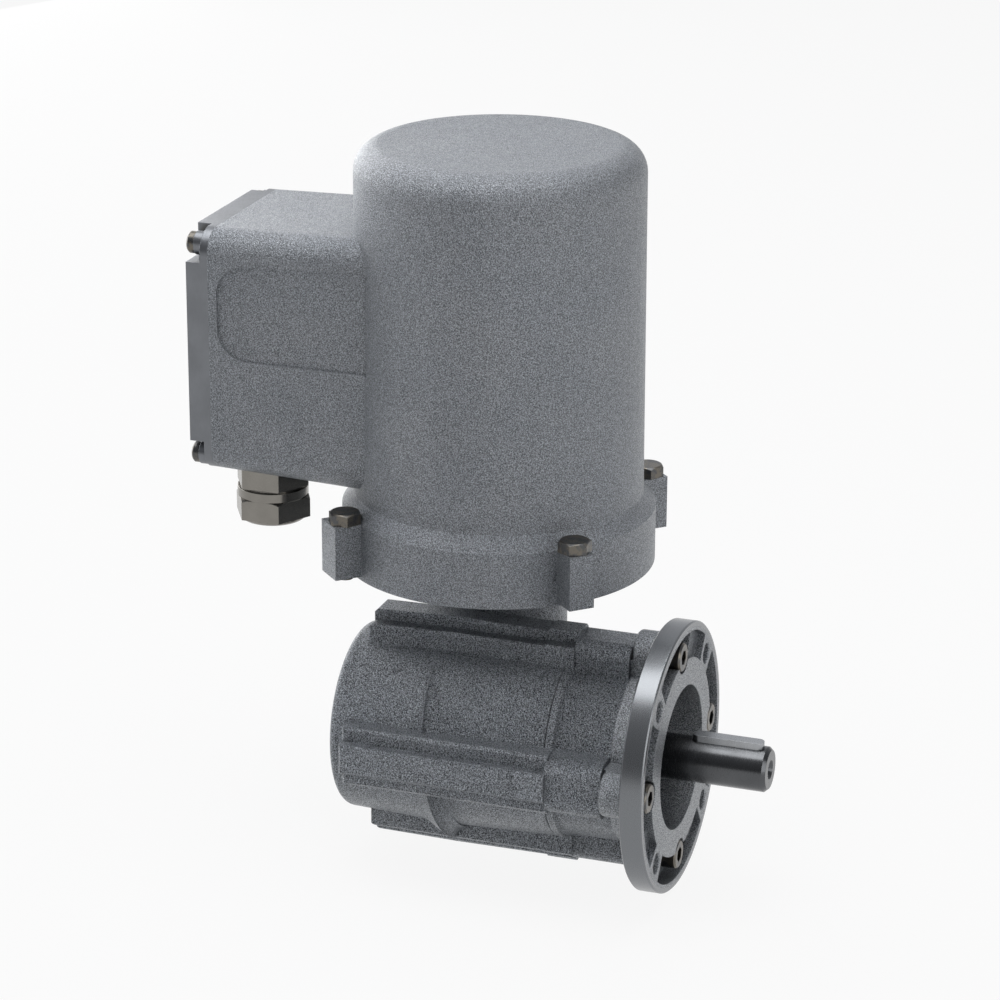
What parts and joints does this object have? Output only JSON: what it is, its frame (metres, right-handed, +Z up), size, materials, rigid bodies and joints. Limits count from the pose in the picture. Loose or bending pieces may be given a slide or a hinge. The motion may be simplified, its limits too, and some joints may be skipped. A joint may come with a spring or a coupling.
{
  "type": "worm gear motor",
  "caption": "Right-angle worm gear motor: upright cast motor with a side terminal box and cable gland, ribbed gear case, round mounting flange and a keyed output shaft.",
  "frame": {"origin": "centre of the output flange's mounting face, on the output shaft's axis", "axes": "+X outward along the output shaft, +Z up along the motor's axis, +Y away from the camera's side"},
  "size_m": [0.2694, 0.1699, 0.3168],
  "materials": {
    "motor_cast": "rough cast, light grey",
    "gear_cast": "rough cast, darker grey",
    "machined_grey": "turned, smooth, satin",
    "cover_grey": "smooth, satin",
    "screw_steel": "dark, oiled",
    "shaft_steel": "ground, glossy",
    "key_steel": "drawn, satin",
    "gland_metal": "plated, warm grey, glossy",
    "black_rubber": "matt black",
    "bearing_steel": "ground, glossy",
    "turned_steel": "turned, satin",
    "wheel_bronze": "cast bronze, cut teeth",
    "hub_iron": "turned cast iron",
    "sheet_steel": "stacked sheets",
    "copper": "enamelled wire",
    "lead_red": "insulated wire",
    "cage_aluminium": "die cast",
    "block_plastic": "moulded",
    "brass_small": "turned brass"
  },
  "bodies": {
    "housing": {"gear_housing": "gear_cast", "gear_cover": "gear_cast", "gear_gasket": "black_rubber", "output_flange": "machined_grey", "flange_screws": "screw_steel", "output_oil_seal": "black_rubber", "front_bearing_outer": "bearing_steel", "rear_bearing_outer": "bearing_steel", "drive_end_shield": "motor_cast", "shield_screws": "screw_steel", "motor_shaft_seal": "black_rubber", "motor_housing": "motor_cast", "housing_bolts": "screw_steel", "stator_core": "sheet_steel", "stator_windings": "copper", "winding_leads": "lead_red", "worm_bearing_outer": "bearing_steel", "drive_bearing_outer": "bearing_steel", "top_bearing_outer": "bearing_steel", "wave_spring": "turned_steel", "terminal_box_cover": "cover_grey", "terminal_gasket": "black_rubber", "cover_screws": "screw_steel", "terminal_block": "block_plastic", "terminal_studs": "brass_small", "terminal_nuts": "brass_small", "terminal_links": "brass_small", "earth_screw": "brass_small", "gland_body": "gland_metal", "gland_nut": "gland_metal", "gland_seal": "black_rubber"},
    "output": {"output_shaft": "shaft_steel", "output_key": "key_steel", "wheel_key": "key_steel", "wheel_hub": "hub_iron", "worm_wheel": "wheel_bronze", "front_bearing_inner": "bearing_steel", "rear_bearing_inner": "bearing_steel", "output_spacer": "turned_steel", "output_circlip": "turned_steel"},
    "rotor": {"rotor_shaft": "turned_steel", "worm": "turned_steel", "rotor_core": "sheet_steel", "rotor_end_rings": "cage_aluminium", "worm_bearing_inner": "bearing_steel", "drive_bearing_inner": "bearing_steel", "top_bearing_inner": "bearing_steel"}
  },
  "joints": [
    {"name": "rotor_turn", "type": "hinge", "parent": "housing", "child": "rotor", "pos_m": [-0.0988, 0.04, 0.1], "axis": [0, 0, 1], "continuous": true},
    {"name": "output_turn", "type": "hinge", "parent": "housing", "child": "output", "pos_m": [0, 0, 0], "axis": [1, 0, 0], "continuous": true}
  ],
  "couplings": [
    {"joint": "output_turn", "follows": "rotor_turn", "ratio": -0.035714}
  ]
}
